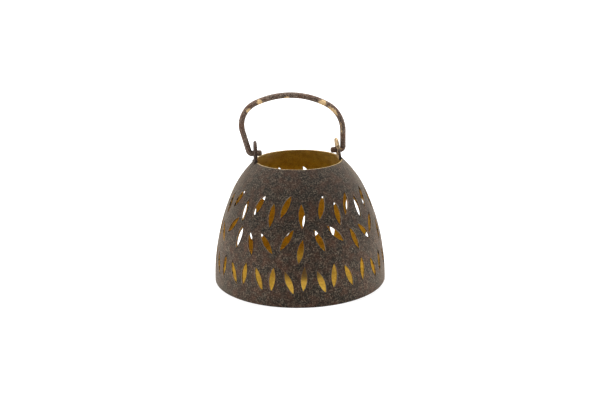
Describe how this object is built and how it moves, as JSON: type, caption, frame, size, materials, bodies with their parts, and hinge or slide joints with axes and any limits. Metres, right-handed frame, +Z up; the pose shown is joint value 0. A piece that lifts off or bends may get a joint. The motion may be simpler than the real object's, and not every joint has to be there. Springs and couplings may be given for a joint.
{
  "type": "candle lantern",
  "caption": "Domed sheet-steel candle lantern pierced with leaf-shaped slots, with an open mouth, a flat base and a swinging rod handle.",
  "frame": {"origin": "middle of the flat underside, at the height of the surface the lantern stands on", "axes": "+Z up through the mouth; the handle's pivot line is along X; the picture's camera is 8 degrees left of -Y"},
  "size_m": [0.15, 0.15, 0.1642],
  "materials": {
    "rust_coat": "matt sandy brown-grey coating on steel",
    "gold_lacquer": "satin gold lacquer on steel"
  },
  "bodies": {
    "lantern": {"body_shell": "rust_coat", "base_pan": "gold_lacquer", "ear_left": "rust_coat", "ear_right": "rust_coat"},
    "handle": {"bail_handle": "rust_coat"}
  },
  "joints": [
    {"name": "handle_swing", "type": "hinge", "parent": "lantern", "child": "handle", "pos_m": [0, 0, 0.113], "axis": [1, 0, 0], "range_deg": [-104, 104]}
  ]
}
